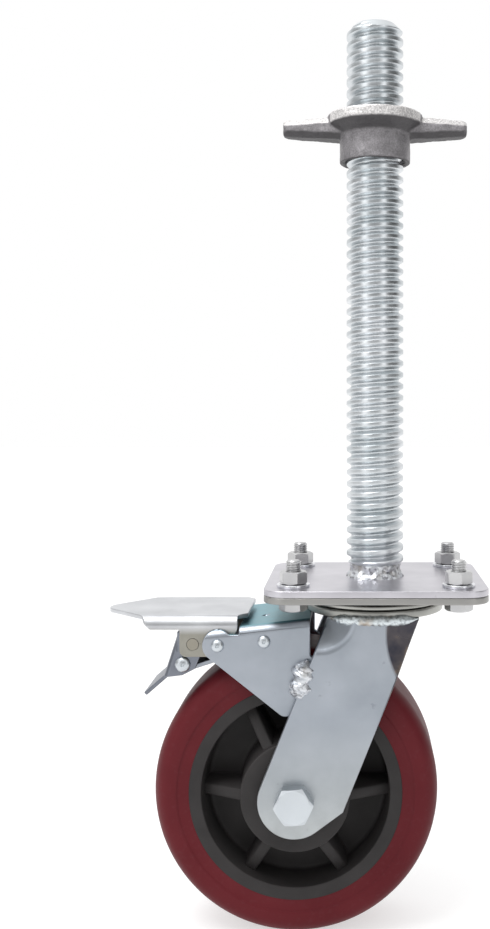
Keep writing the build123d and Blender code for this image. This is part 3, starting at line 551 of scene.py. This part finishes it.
def cast_finish():
    """Cast iron with the grain of its sand mould, and painted light and shade: pale on the flange's rim
    and where it looks up, dark where it looks down.
    """
    made = material("cast_iron", (0.2, 0.195, 0.2), 0.6, 0.5)
    tree = made.node_tree
    grain = speckle(tree, 0.8, 5, roughness=0.65)
    tone = ramp(tree, speckle(tree, 7, 4), (0.3, (0.24, 0.23, 0.24)), (0.7, (0.38, 0.365, 0.38)))
    # The flange's rim and the faces that look up are marked for painted light, broken up by the grain
    x, y, z = (coordinate(tree, "Object", axis) for axis in "XYZ")
    squares = computed(tree, "ADD", computed(tree, "POWER", x, 2), computed(tree, "POWER", y, 2))
    radius = computed(tree, "POWER", squares, 0.5)
    outside = spread(tree, radius, 0.0, 1.0, (FLANGE_RADIUS - 1.6) * MM, (FLANGE_RADIUS - 0.5) * MM)
    beside = computed(tree, "ABSOLUTE", y)
    beside = spread(tree, beside, 0.0, 1.0, WING_HALF * MM, (WING_HALF + 0.6) * MM)
    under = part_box("wing_nut")[1].z - FLANGE_THICKNESS * MM
    above = spread(tree, z, 0.0, 1.0, under - 0.2 * MM, under + 0.8 * MM)
    rim = computed(tree, "MULTIPLY", computed(tree, "MULTIPLY", outside, beside), above)
    looks_up = spread(tree, coordinate(tree, "Normal", "Z"), 0.0, 1.0, 0.25, 0.6)
    painted_light_share = spread(tree, grain, 0.55, 1.0, 0.3, 0.6)
    painted_light_share = computed(tree, "MULTIPLY", computed(tree, "MAXIMUM", rim, looks_up), painted_light_share)
    colour = mixed(tree, painted_light_share, tone, (0.85, 0.83, 0.82, 1))
    shine = ramp(tree, grain, (0.35, 0.6), (0.65, 1.0))
    colour = mixed(tree, 1.0, colour, shine, "MULTIPLY")
    # Faces that look down get painted shade
    painted_shade_below = spread(tree, coordinate(tree, "Normal", "Z"), 0.85, 0.0, -0.65, -0.1)
    colour = mixed(tree, painted_shade_below, colour, (0.04, 0.038, 0.04, 1))
    paint(made, colour, spread(tree, grain, 0.38, 0.62))
    relief(made, (grain, 0.7, 0.22), (speckle(tree, 3.5, 3), 0.35, 0.4))
    return made


def tyre_finish():
    """Maroon polyurethane, smooth, with faint moulding flow and a little dust."""
    made = material("polyurethane", (0.1, 0.009, 0.014), 0.0, 0.5, Specular_IOR_Level=0.16)
    tree = made.node_tree
    flow = ramp(tree, speckle(tree, 40, 3), (0.3, (0.09, 0.007, 0.011)), (0.7, (0.118, 0.012, 0.017)))
    dust = spread(tree, speckle(tree, 2.4, 4), 0.0, 0.1, 0.55, 0.8)
    colour = mixed(tree, dust, flow, (0.16, 0.07, 0.08, 1))
    paint(made, colour, spread(tree, speckle(tree, 5, 4), 0.42, 0.58))
    relief(made, (speckle(tree, 0.5, 2), 0.06, 0.03), (speckle(tree, 14, 2), 0.1, 0.2))
    return made


def core_finish():
    """Dark grey moulded plastic with a fine eroded grain."""
    made = material("core_plastic", (0.018, 0.018, 0.017), 0.0, 0.55, Specular_IOR_Level=0.25)
    tree = made.node_tree
    tone = ramp(tree, speckle(tree, 18, 3), (0.3, (0.023, 0.021, 0.021)), (0.7, (0.034, 0.031, 0.031)))
    scuffs = spread(tree, speckle(tree, 1.6, 5, (1, 1, 3)), 0.0, 0.2, 0.6, 0.78)
    colour = mixed(tree, scuffs, tone, (0.05, 0.048, 0.046, 1))
    paint(made, colour, spread(tree, speckle(tree, 6, 3), 0.5, 0.66))
    relief(made, (speckle(tree, 0.35, 3), 0.25, 0.05))
    return made


ZINC_LIGHT = (0.40, 0.43, 0.475)
ZINC_DARK = (0.32, 0.35, 0.39)
finishes = {
    "sheet": zinc("zinc_sheet", ZINC_LIGHT, ZINC_DARK, 0.32, 0.46),
    # The leg: its tint is painted light, lighter towards the axle, and its last function paints shade on
    # faces turned to +X high up
    "leg": zinc(
        "zinc_leg",
        ZINC_LIGHT,
        ZINC_DARK,
        0.34,
        0.46,
        tint=(0.46, 0.485, 0.495),
        tint_and_painted_light_mask=down_the_leg,
        paint_shade=painted_facet_shade,
    ),
    # The bracket: the zinc's teal passivation sheen, painted on upward faces only as a painted reflection
    "bracket": zinc(
        "zinc_bracket",
        ZINC_LIGHT,
        ZINC_DARK,
        0.32,
        0.45,
        tint=(0.2, 0.4, 0.46),
        tint_and_painted_light_mask=facing_up,
    ),
    "pedal": zinc(
        "zinc_pedal",
        (0.66, 0.67, 0.69),
        (0.5, 0.51, 0.53),
        0.3,
        0.44,
        tint=(0.34, 0.33, 0.29),
        tint_and_painted_light_mask=on_the_ears,
    ),
    "plate": zinc("zinc_plate", (0.62, 0.605, 0.645), (0.52, 0.51, 0.545), 0.28, 0.42),
    "lower_plate": zinc("zinc_lower_plate", (0.34, 0.336, 0.322), (0.33, 0.325, 0.315), 0.3, 0.44),
    "race": zinc("zinc_race", (0.50, 0.50, 0.47), (0.36, 0.36, 0.34), 0.3, 0.45),
    "tan": zinc("zinc_tan", (0.33, 0.31, 0.26), (0.26, 0.245, 0.21), 0.34, 0.46),
    "thread": zinc("zinc_thread", (0.73, 0.75, 0.77), (0.52, 0.56, 0.58), 0.24, 0.38, 0.5),
    "fastener": zinc("zinc_fastener", (0.62, 0.62, 0.62), (0.45, 0.45, 0.46), 0.22, 0.38, 0.25),
    "head": zinc("zinc_bolt_head", (0.60, 0.64, 0.67), (0.52, 0.55, 0.58), 0.28, 0.4, 0.3),
    "washer": zinc("zinc_washer", (0.84, 0.85, 0.88), (0.68, 0.69, 0.72), 0.16, 0.3, 0.25),
    # The release lever: zinc darkened as painted shade
    "dark": zinc("dark_steel", (0.26, 0.28, 0.32), (0.16, 0.17, 0.2), 0.28, 0.42),
    "bearing": zinc("bearing_steel", (0.65, 0.65, 0.65), (0.55, 0.55, 0.55), 0.15, 0.25),
    "weld": weld_finish("weld_metal", (0.66, 0.68, 0.71), (0.2, 0.2, 0.22), (0.42, 0.39, 0.35)),
    "crown_weld": weld_finish(
        "crown_weld_metal", (0.64, 0.69, 0.71), (0.3, 0.32, 0.34), (0.38, 0.3, 0.22)
    ),
    "cast": cast_finish(),
    "tyre": tyre_finish(),
    "core": core_finish(),
}


def dressed(piece, finish, body=None):
    """Gives a piece its finish and, if it is a new one, the body that it rides on."""
    piece.data.materials.clear()
    piece.data.materials.append(finishes[finish])
    if body:
        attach(piece, body)
    return piece


def stand_in(piece, node_name, finish, body):
    """A new piece that stands for a CAD node."""
    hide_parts(node_name)
    return dressed(piece, finish, body)


# Stem, its weld and the plates

stem_low, stem_high = box_mm("jack_stem")
stem_crest = stem_high.x
stem_root = stem_crest - STEM_DEPTH
stem = thread(
    stem_low.z,
    stem_high.z,
    stem_root,
    stem_crest,
    STEM_PITCH,
    crest_share=0.26,
    root_share=0.08,
    bevel=STEM_END_BEVEL,
    columns=64,
    per_turn=16,
    foot=STEM_PITCH,
)
stand_in(closed_rod("stem_thread", [stem]), "jack_stem", "thread", "root")


def weld_ring():
    """The lumpy bead that holds the stem to its plate, closed inside the stem."""
    high = box_mm("stem_weld")[1]
    steps, rows = 240, 14
    inner = stem_root - 1.5
    start = stem_root - 0.4
    swell = high.x - stem_root - 0.2
    points = []
    for step in range(steps):
        angle = 2 * pi * step / steps
        out = Vector((cos(angle), sin(angle), 0))
        points.append(out * inner)
        for row in range(rows):
            share = row / (rows - 1)
            full = sin(min(1, 2.2 * (1 - share)) * pi / 2) ** 0.8
            place = out * (start + swell * full) + Vector((0, 0, (high.z + 0.6) * share))
            lump = 0.8 * (noise.noise(place / 4.2) + 0.5 * noise.noise(place / 2.0))
            ridge = 0.4 * sin(share * 3 * pi + 3 * noise.noise(out * 2.0))
            skirt = 1.6 * max(0, 1 - 3 * share) ** 1.5
            points.append(place + (out * (lump + ridge + skirt) + Vector((0, 0, lump * share))) * full)
        points.append(out * inner + Vector((0, 0, high.z)))
    faces = turned_faces(steps, rows + 2)
    stand_in(mesh_object("stem_weld_bead", points, faces, 60), "stem_weld", "weld", "root")


weld_ring()


def rounded_plate(node_name, name, finish):
    """A flat plate with round corners and softened edges, from a node's box."""
    low, high = box_mm(node_name)
    corner, edge = 12.0, PLATE_EDGE
    corner_steps, edge_steps = 10, 4
    quarters = ((1, 1), (-1, 1), (-1, -1), (1, -1))

    def ring(inset, z):
        """The plate's outline, moved in, at a height."""
        points = []
        for quarter, (side_x, side_y) in enumerate(quarters):
            centre_x = (high.x - corner) * side_x
            centre_y = (high.y - corner) * side_y
            for step in range(corner_steps + 1):
                angle = (quarter + step / corner_steps) * pi / 2
                reach = corner - inset
                points.append((centre_x + reach * cos(angle), centre_y + reach * sin(angle), z))
        return points

    turns = [step / edge_steps * pi / 2 for step in range(edge_steps + 1)]
    lower = [ring(edge * (1 - sin(turn)), low.z + edge * (1 - cos(turn))) for turn in turns]
    upper = [ring(edge * (1 - cos(turn)), high.z - edge * (1 - sin(turn))) for turn in turns]
    piece = mesh_object(name, *tube(lower + upper), ALL_SMOOTH)
    flat_normals(piece)
    stand_in(piece, node_name, finish, "root")


rounded_plate("stem_plate", "stem_plate_rounded", "plate")
rounded_plate("castor_top_plate", "top_plate_rounded", "lower_plate")

# The four bolts that join the plates


def plate_fasteners():
    """Bolts with their heads below, nuts and washers above, each bolt turned by its own angle."""
    bolt_low, bolt_high = box_mm("plate_bolts")
    nut_low, nut_high = box_mm("plate_nuts")
    washer_low, washer_high = box_mm("plate_washers")
    seat = box_mm("castor_top_plate")[0].z
    away_x = washer_high.x - WASHER_RADIUS
    away_y = washer_high.y - WASHER_RADIUS
    washer_section = rounded(
        [
            (BOLT_RADIUS + 0.2, washer_low.z),
            (WASHER_RADIUS, washer_low.z),
            (WASHER_RADIUS, washer_high.z),
            (BOLT_RADIUS + 0.2, washer_high.z),
        ],
        0.4,
    )
    shank = thread(
        seat,
        bolt_high.z,
        BOLT_RADIUS - BOLT_THREAD_DEPTH,
        BOLT_RADIUS,
        BOLT_PITCH,
        crest_share=0.3,
        root_share=0.15,
        bevel=0.4,
        columns=32,
        per_turn=8,
    )
    bolts, nuts, washers = [], [], []
    places = [(x * away_x, y * away_y, 0) for x in (-1, 1) for y in (-1, 1)]
    turns = (0.3, -0.35, 0.12, 0.5)
    for place, turn in zip(places, turns):
        head = hexagon(BOLT_ACROSS, bolt_low.z, seat, 0, False, True, turn=turn + 0.2)
        nut = hexagon(BOLT_ACROSS, nut_low.z, nut_high.z, BOLT_RADIUS - 0.1, True, True, turn=turn)
        bolts += [moved(shank, place), moved(head, place)]
        nuts.append(moved(nut, place))
        washers.append(lathe(washer_section, steps=48, centre=place))
    stand_in(closed_rod("plate_bolts_threaded", bolts), "plate_bolts", "fastener", "root")
    stand_in(closed_rod("plate_nuts_turned", nuts), "plate_nuts", "fastener", "root")
    stand_in(closed_rod("plate_washers_round", washers), "plate_washers", "washer", "root")


plate_fasteners()

# Swivel head: the upper race, pressed with a flat and a lip

PIN_RADIUS = 8.0


def upper_race():
    """The ring under the top plate, turned from its pressed section."""
    low, high = box_mm("upper_race")
    flat, lip, sheet = 29.5, 33.5, 2.0
    section = [
        (PIN_RADIUS, high.z),
        (flat, high.z, 2),
        (lip, low.z + sheet, 2),
        (high.x, low.z + sheet, 0.7),
        (high.x, low.z, 0.7),
        (lip - 1, low.z, 2),
        (flat - 1, high.z - sheet, 2),
        (PIN_RADIUS, high.z - sheet),
    ]
    stand_in(lathe_piece("upper_race_pressed", rounded(section, 0.5)), "upper_race", "race", "root")


upper_race()

# Wing nut


def wing_nut():
    """The cast wing nut: a flanged collar and two wings, fused and softened as one casting.

    The wings' sections stand at a share of their length, and the last two are smaller by a factor.
    """
    low, high = box_mm("wing_nut")
    collar = 19.25
    cone_height = 5.0
    bore = stem_crest + 0.45
    bore_bevel = 1.4
    profile = [
        (bore, low.z + bore_bevel, 0.5),
        (bore + 1.6, low.z, 0.5),
        (collar, low.z, 1.2),
        (collar, high.z - FLANGE_THICKNESS - cone_height, 2.2),
        (FLANGE_RADIUS, high.z - FLANGE_THICKNESS, 1.2),
        (FLANGE_RADIUS, high.z, 1.4),
        (bore + bore_bevel, high.z, 0.5),
        (bore, high.z - bore_bevel, 0.5),
    ]
    parts = [lathe(rounded(profile, 1), steps=128)]
    wing_start = bore + 2.2
    for side in (-1, 1):
        sections = []
        for share, end in ((0, 1), (0.35, 1), (0.7, 1), (0.94, 0.94), (1, 0.7)):
            reach = wing_start + (high.x - wing_start) * share
            half = (WING_HALF - 2.0 * share) * end
            shrink = (1 - end) * 2.5
            top = high.z - 1.5 - 1.7 * share - shrink
            bottom = high.z - 14.0 + 1.8 * share + shrink
            edge, under = 3.6 * end, 3.0 * end
            section = [
                (-half, bottom + under),
                (under - half, bottom),
                (half - under, bottom),
                (half, bottom + under),
                (half, top - edge),
                (half - edge, top),
                (edge - half, top),
                (-half, top - edge),
            ]
            sections.append([(side * reach, y, z) for y, z in section])
        parts.append(tube(sections))
    piece = joined("wing_nut_casting", parts)
    fuse = piece.modifiers.new("fuse", "REMESH")
    fuse.mode = "VOXEL"
    fuse.voxel_size = 0.6 * MM
    soften = piece.modifiers.new("soften", "SMOOTH")
    soften.factor = 0.5
    soften.iterations = 3
    apply_modifiers(piece)
    normals = [vertex.normal.copy() for vertex in piece.data.vertices]
    for vertex, normal in zip(piece.data.vertices, normals):
        place = vertex.co / MM
        if hypot(place.x, place.y) > bore + 0.6:
            lift = 0.16 * noise.noise(place / 2.1) + 0.22 * noise.noise(place / 6)
            vertex.co += normal * (lift - 0.1) * MM
    stand_in(finished(piece, 80), "wing_nut", "cast", "wing_nut")


wing_nut()

# Fork: crown, legs, brake bracket and their weld beads

PIN_CLEARANCE = 0.3
crown_low, crown_high = box_mm("fork_crown")
crown_section = [
    (PIN_RADIUS + PIN_CLEARANCE, crown_low.z),
    (crown_high.x, crown_low.z, 0.5),
    (crown_high.x, crown_high.z, 1.2),
    (PIN_RADIUS + PIN_CLEARANCE, crown_high.z),
]
stand_in(lathe_piece("fork_crown_turned", rounded(crown_section, 0.5)), "fork_crown", "race", "fork")
for side in ("near", "far"):
    leg = bevelled_copy(f"fork_leg_{side}", f"fork_leg_{side}_pressed", LEG_EDGE)
    dressed(leg, "leg", "fork")
dressed(bevelled_copy("brake_bracket", "brake_bracket_folded", SHEET_EDGE), "bracket", "fork")
leg_outer = box_mm("fork_leg_far")[1].y


def arc_path(radius, z, start, end, steps=70):
    """Points along a level arc, the angles in degrees from +X."""
    angles = [radians(start + (end - start) * i / steps) for i in range(steps + 1)]
    return [(radius * cos(angle), radius * sin(angle), z) for angle in angles]


def crown_welds():
    """The beads along the top of the legs, their ends at so many degrees behind and in front."""
    behind, in_front = 41, 36
    circle = (crown_high.x + leg_outer) / 2
    z = crown_low.z - 0.4
    near = arc_path(circle, z, 270 - behind, 270 + in_front)
    far = arc_path(circle, z, 90 + behind, 90 - in_front)
    beads = bead("crown_weld_beads", [near, far], radius=2.6, ripple=0.06, lumps=0.16, seed=11)
    stand_in(beads, "crown_welds", "crown_weld", "fork")


def bracket_welds():
    """The rough beads up the back edges of the legs."""
    low, high = box_mm("bracket_welds")
    steps = 48
    paths = []
    for side in (-1, 1):
        y = side * (leg_outer - 3.6)
        bottom = Vector((low.x + 5.2, y, low.z + 2.0))
        top = Vector((high.x - 4.0, y, high.z + 0.5))
        paths.append([bottom.lerp(top, i / steps) for i in range(steps + 1)])
    beads = bead("bracket_weld_beads", paths, radius=5.6, ripple=0.14, lumps=0.3, seed=5, around=26)
    stand_in(beads, "bracket_welds", "weld", "fork")


crown_welds()
bracket_welds()

# Rivets and the axle


def rivet(node_name, head, rise, body):
    """A rivet across the object, domed at both ends, with a small mark in the middle of each head."""
    low, high = box_mm(node_name)
    seat = high.y - rise
    shank = head * 0.7
    mark, depth = 0.8, 0.45
    dome_steps = 8
    dome = [(0, high.y - depth), (mark * 0.6, high.y - depth)]
    for step in range(dome_steps + 1):
        angle = pi / 2 * (1 - step / dome_steps)
        dome.append((mark + (head - mark) * cos(angle), seat + rise * sin(angle)))
    dome += [(head, seat), (shank, seat)]
    profile = dome + [(r, -y) for r, y in reversed(dome)]
    centre = ((low.x + high.x) / 2, 0, (low.z + high.z) / 2)
    piece = lathe_piece(node_name + "_domed", profile, across=True, centre=centre, steps=48)
    stand_in(piece, node_name, "head", body)


def axle_bolt():
    """The axle's bolt and nut, with the bolt's thread showing past the nut."""
    bolt_near, bolt_far = box_mm("axle_bolt")
    nut_near, nut_far = box_mm("axle_nut")
    across = nut_far.z - nut_near.z
    head = hexagon(across, leg_outer, -bolt_near.y, turn=radians(AXLE_HEAD_TURN))
    shank = [(0, -leg_outer), (AXLE_RADIUS, -leg_outer), (AXLE_RADIUS, leg_outer), (0, leg_outer)]
    end = thread(
        leg_outer,
        bolt_far.y,
        AXLE_RADIUS - AXLE_THREAD_DEPTH,
        AXLE_RADIUS,
        AXLE_PITCH,
        crest_share=0.2,
        root_share=0.15,
        bevel=0.8,
        columns=40,
        per_turn=8,
    )
    parts = [laid(head, -1), lathe(shank, 48, True), laid(end, 1)]
    bolt = closed_rod("axle_bolt_turned", [moved(part, AXLE) for part in parts])
    stand_in(bolt, "axle_bolt", "head", "fork")
    nut = laid(hexagon(across, nut_near.y, nut_far.y, AXLE_RADIUS - 0.2, True, True), 1)
    stand_in(closed_rod("axle_nut_turned", [moved(nut, AXLE)]), "axle_nut", "fastener", "fork")


rivet("pedal_rivet", 3.4, 2.2, "fork")
rivet("shoe_rivet", 3.4, 2.2, "fork")
rivet("lever_cross_pin", 4.15, 2.6, "release_lever")
axle_bolt()

# Pieces that stay as they are in the frame
for name, finish in (
    ("lower_race", "race"),
    ("king_pin", "fastener"),
    ("king_nut", "fastener"),
    ("axle_sleeve", "bearing"),
    ("axle_washers", "fastener"),
    ("upper_swivel_balls", "bearing"),
    ("lower_swivel_balls", "bearing"),
    ("hub_race", "bearing"),
    ("hub_seals", "core"),
    ("hub_rollers", "bearing"),
    ("roller_cage", "core"),
    ("lever_pivot_pin", "tan"),
):
    dressed(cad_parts[name], finish)

# Wheel: tyre and core

CORE_RADIUS = 56.0


def tyre():
    """The tyre's section: a step on each face, elliptic shoulders and a nearly flat crown."""
    low, high = box_mm("tyre")
    wheel_radius = (high.z - low.z) / 2
    half = high.y
    step = 0.7
    step_radius = CORE_RADIUS + 6
    side_radius = wheel_radius - 8
    crown_half = 14.0
    shoulder_steps = 12
    upper = [
        (CORE_RADIUS, half - step),
        (step_radius - 0.3, half - step),
        (step_radius, half - step + 0.1),
        (step_radius + step - 0.2, half - 0.1),
        (step_radius + step + 0.3, half),
    ]
    for i in range(shoulder_steps + 1):
        angle = i / shoulder_steps * pi / 2
        radius = side_radius + (wheel_radius - side_radius) * sin(angle)
        upper.append((radius, crown_half + (half - crown_half) * cos(angle)))
    lower = [(r, -y) for r, y in reversed(upper)]
    piece = lathe_piece("tyre_moulded", upper + lower, across=True, centre=AXLE, steps=216)
    stand_in(piece, "tyre", "tyre", "wheel")


def wheel_core():
    """The moulded core: rim, web and hub turned as one, with six ribs on each face."""
    hub_half = box_mm("wheel_core")[1].y
    rim_half = 24.5
    rim_inner, hub, bore = 49.4, 28.5, 16.5
    web = 4.0
    draft = 1.2
    upper = rounded(
        [
            (bore, 0, 0),
            (bore, hub_half, 0.6),
            (hub, hub_half, 1.2),
            (hub + draft, web, 2.5),
            (rim_inner - draft, web, 2.5),
            (rim_inner, rim_half, 0.9),
            (CORE_RADIUS, rim_half, 0.4),
            (CORE_RADIUS, 0, 0),
        ],
        1,
        5,
    )
    lower = [(r, -y) for r, y in reversed(upper)]
    parts = [lathe(upper[1:-1] + lower[1:-1], steps=180, across=True, centre=AXLE)]
    half_thick = 3.25
    crest_half = half_thick - 0.3
    soft = 1.1
    hub_end = (hub - 1, hub_half - 3)
    rim_end = (rim_inner + 1, rim_half - 8)
    for side in (-1, 1):
        for rib in range(6):
            angle = rib * pi / 3
            out = Vector((cos(angle), 0, sin(angle)))
            across = Vector((-sin(angle), 0, cos(angle)))
            ends = []
            for reach, top in (hub_end, rim_end):
                half = [
                    (half_thick + 1.6, web - 1),
                    (half_thick + 0.5, web + 0.6),
                    (half_thick + 0.1, web + 2.0),
                    (crest_half, top - soft),
                    (crest_half - 0.35 * soft, top - 0.35 * soft),
                    (crest_half - soft, top),
                ]
                section = half + [(-wide, y) for wide, y in reversed(half)]
                middle = Vector(AXLE) + out * reach
                ends.append([middle + across * wide + Vector((0, side * y, 0)) for wide, y in section])
            parts.append(tube(ends))
    stand_in(joined("wheel_core_moulded", parts), "wheel_core", "core", "wheel")


tyre()
wheel_core()

# Brake: pedal, release lever and shoe
dressed(bevelled_copy("brake_pedal", "brake_pedal_folded", SHEET_EDGE), "pedal", "pedal")
# The release lever's darkened zinc is painted shade
dressed(bevelled_copy("release_lever", "release_lever_folded", SHEET_EDGE), "dark", "release_lever")
dressed(bevelled_copy("brake_shoe", "brake_shoe_pressed", SHEET_EDGE), "sheet", "brake_shoe")

# Stage, light and camera


def stage():
    """A pale floor with no edge in sight, a little bright of itself."""
    floor_z = box_mm("tyre")[0].z
    reach = 6000
    corners = [(-reach, -reach), (reach, -reach), (reach, reach), (-reach, reach)]
    floor = mesh_object("floor", [(x, y, floor_z) for x, y in corners], [(0, 1, 2, 3)])
    finish = material(
        "floor_finish",
        (0.9, 0.9, 0.9),
        0.0,
        0.8,
        Specular_IOR_Level=0.1,
        Emission_Color=(1, 1, 1, 1),
        Emission_Strength=0.57,
    )
    tree = finish.node_tree
    paint(finish, ramp(tree, speckle(tree, 300, 2), (0.3, 0.5), (0.7, 0.54)))
    floor.data.materials.append(finish)


def key_light():
    """A soft lamp above, to the left and in front, that faces the object."""
    data = bpy.data.lights.new("key", "AREA")
    data.shape = "RECTANGLE"
    data.size = data.size_y = 600 * MM
    data.energy = 6.5
    lamp = bpy.data.objects.new("key", data)
    place = Vector((-400, -350, 1000))
    aim = Vector((-20, 0, 0))
    lamp.location = place * MM
    lamp.rotation_euler = (aim - place).to_track_quat("-Z", "Y").to_euler()
    bpy.context.scene.collection.objects.link(lamp)


def studio():
    """A pale room: above it is plain, and at eye level in front it is dim with bright strips.

    Its right is dark, so that round pieces get a dark side. The camera sees it all as white.
    """
    world = bpy.data.worlds.new("studio")
    world.use_nodes = True
    bpy.context.scene.world = world
    tree = world.node_tree
    background = tree.nodes["Background"]
    parts = node(tree, "SeparateXYZ", {"Vector": node(tree, "TexCoord").outputs["Generated"]})
    right = spread(tree, parts.outputs["X"], 0.0, 1.0, -1.0, 1.0)
    left_strip = ((0.08, 0.2), (0.13, 1.9), (0.2, 1.9), (0.3, 0.22))
    right_strip = ((0.68, 0.22), (0.76, 1.9), (0.82, 1.9), (0.87, 0.02))
    band = ramp(tree, right, (0.0, 0.35), *left_strip, *right_strip, (1.0, 0.02))
    behind = spread(tree, parts.outputs["Y"], 0.0, 1.0, 0.15, 0.5)
    band = mixed(tree, behind, band, (1, 1, 1, 1))
    above = ramp(tree, right, (0.0, 1.1), (0.5, 1.25), (0.8, 0.8), (1.0, 0.5))
    height = spread(tree, parts.outputs["Z"], 0.0, 1.0, 0.22, 0.62)
    room = mixed(tree, height, band, above)
    seen = node(tree, "LightPath").outputs["Is Camera Ray"]
    tree.links.new(mixed(tree, seen, room, (1, 1, 1, 1)), background.inputs["Color"])
    background.inputs["Strength"].default_value = 1.0
    key_light()
    bpy.context.scene.view_settings.view_transform = "Standard"


def camera():
    """A level camera at the photograph's viewpoint."""
    data = bpy.data.cameras.new("camera")
    long_side = max(PHOTO_WIDTH, PHOTO_HEIGHT)
    data.sensor_width = SENSOR
    data.sensor_fit = "AUTO"
    data.lens = FOCAL_PIXELS / long_side * SENSOR
    data.shift_x = (PHOTO_WIDTH / 2 - VANISHING_X) / long_side
    data.shift_y = (VANISHING_Y - PHOTO_HEIGHT / 2) / long_side
    data.clip_start = 0.01
    data.clip_end = 50
    eye = bpy.data.objects.new("camera", data)
    eye.location = Vector(CAMERA_PLACE) * MM
    eye.rotation_euler = (pi / 2, 0, 0)
    bpy.context.scene.collection.objects.link(eye)
    bpy.context.scene.camera = eye


stage()
studio()
camera()
